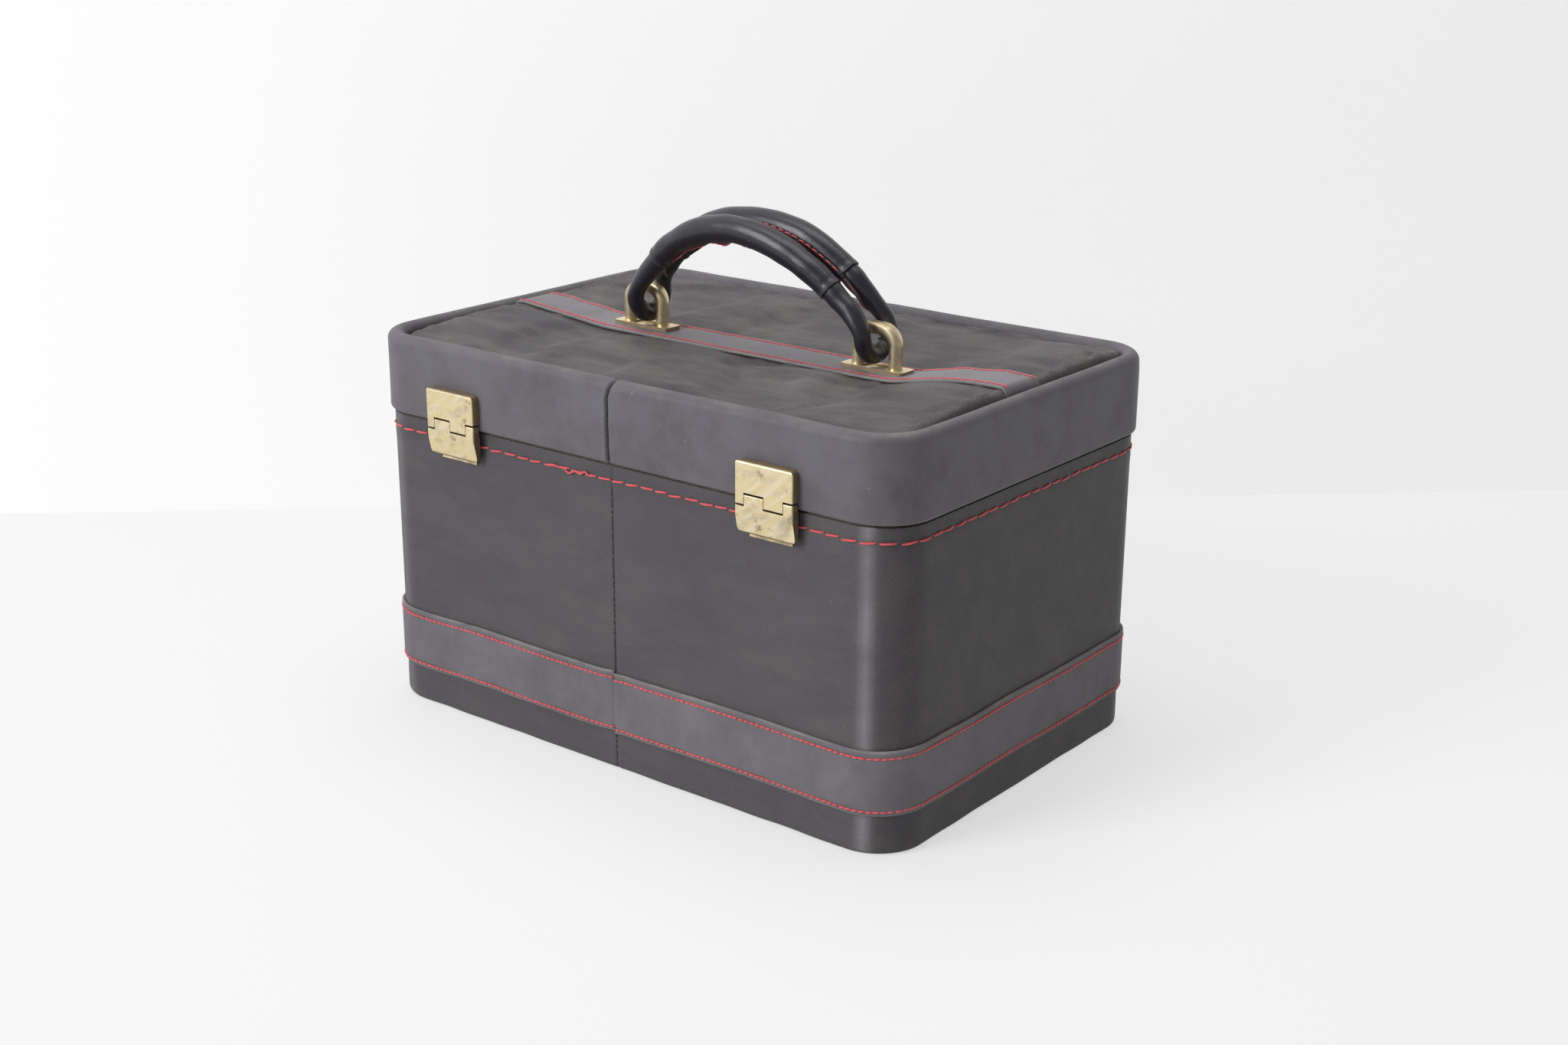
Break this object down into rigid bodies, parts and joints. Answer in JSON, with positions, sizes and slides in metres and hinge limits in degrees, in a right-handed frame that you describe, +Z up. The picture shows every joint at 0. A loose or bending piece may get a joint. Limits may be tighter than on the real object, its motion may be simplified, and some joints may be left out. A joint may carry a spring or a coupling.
{
  "type": "vanity case",
  "caption": "Deep hard vanity case with a cap lid on rear hinges, a rolled leather carrying handle on brass staples, snap latches, a lining and a mirror inside the lid.",
  "frame": {"origin": "on the floor plane, under the middle of the case body", "axes": "+X to the right as seen from the front, -Y towards the front with the latches, +Z up"},
  "size_m": [0.328, 0.2296, 0.2592],
  "materials": {
    "woven_cloth": "coarse woven cloth, worn",
    "band_leather": "slate black leather, dusty raw edges",
    "lid_leather": "smooth black leather, soft sheen",
    "handle_leather": "rolled black leather, scuffed",
    "aged_brass": "aged and tarnished",
    "board": "raw",
    "lining": "matte cloth lining",
    "piping_cord": "twisted cord",
    "steel": "plain",
    "mirror": "polished"
  },
  "bodies": {
    "case_body": {"body_board": "board", "base_board": "board", "bottom_cover": "woven_cloth", "body_cover_left": "woven_cloth", "body_cover_right": "woven_cloth", "foot_band_left": "band_leather", "foot_band_right": "band_leather", "rim_binding": "lid_leather", "body_lining": "lining", "floor_pad": "lining", "hinge_body_leaf_left": "aged_brass", "hinge_body_leaf_right": "aged_brass", "hinge_pin_left": "aged_brass", "hinge_pin_right": "aged_brass", "hinge_body_rivets": "aged_brass", "latch_catch_left": "aged_brass", "latch_catch_right": "aged_brass", "catch_rivets": "aged_brass", "stay_body_stud": "aged_brass"},
    "lid": {"lid_frame": "board", "lid_board": "board", "lid_ledge": "lining", "lid_band_left": "lid_leather", "lid_band_right": "lid_leather", "rim_piping": "piping_cord", "lid_pad": "woven_cloth", "lid_strap": "band_leather", "handle_plate_left": "aged_brass", "handle_plate_right": "aged_brass", "handle_staple_left": "aged_brass", "handle_staple_right": "aged_brass", "staple_backing": "steel", "lid_lining": "lining", "mirror_frame": "aged_brass", "mirror_glass": "mirror", "latch_plate_left": "aged_brass", "latch_plate_right": "aged_brass", "latch_pin_left": "aged_brass", "latch_pin_right": "aged_brass", "latch_washers": "aged_brass", "hinge_lid_leaf_left": "aged_brass", "hinge_lid_leaf_right": "aged_brass", "hinge_lid_rivets": "aged_brass", "stay_lid_stud": "aged_brass"},
    "handle": {"handle_loop": "handle_leather", "handle_wrap": "handle_leather"},
    "left_flap": {"latch_flap_left": "aged_brass"},
    "right_flap": {"latch_flap_right": "aged_brass"},
    "stay": {"stay_arm": "aged_brass"}
  },
  "joints": [
    {"name": "lid_hinge", "type": "hinge", "parent": "case_body", "child": "lid", "pos_m": [0, 0.1127, 0.155], "axis": [-1, 0, 0], "range_deg": [0, 95]},
    {"name": "handle_fold", "type": "hinge", "parent": "lid", "child": "handle", "pos_m": [0, 0, 0.2112], "axis": [1, 0, 0], "range_deg": [-93, 77]},
    {"name": "left_flap_hinge", "type": "hinge", "parent": "lid", "child": "left_flap", "pos_m": [-0.09875, -0.1126, 0.156], "axis": [-1, 0, 0], "range_deg": [0, 95]},
    {"name": "right_flap_hinge", "type": "hinge", "parent": "lid", "child": "right_flap", "pos_m": [0.09325, -0.1126, 0.156], "axis": [-1, 0, 0], "range_deg": [0, 95]},
    {"name": "stay_pivot", "type": "hinge", "parent": "lid", "child": "stay", "pos_m": [-0.1545, 0.0427, 0.175], "axis": [1, 0, 0], "range_deg": [0, 47.5]}
  ],
  "couplings": [
    {"joint": "stay_pivot", "follows": "lid_hinge", "ratio": 0.5}
  ]
}
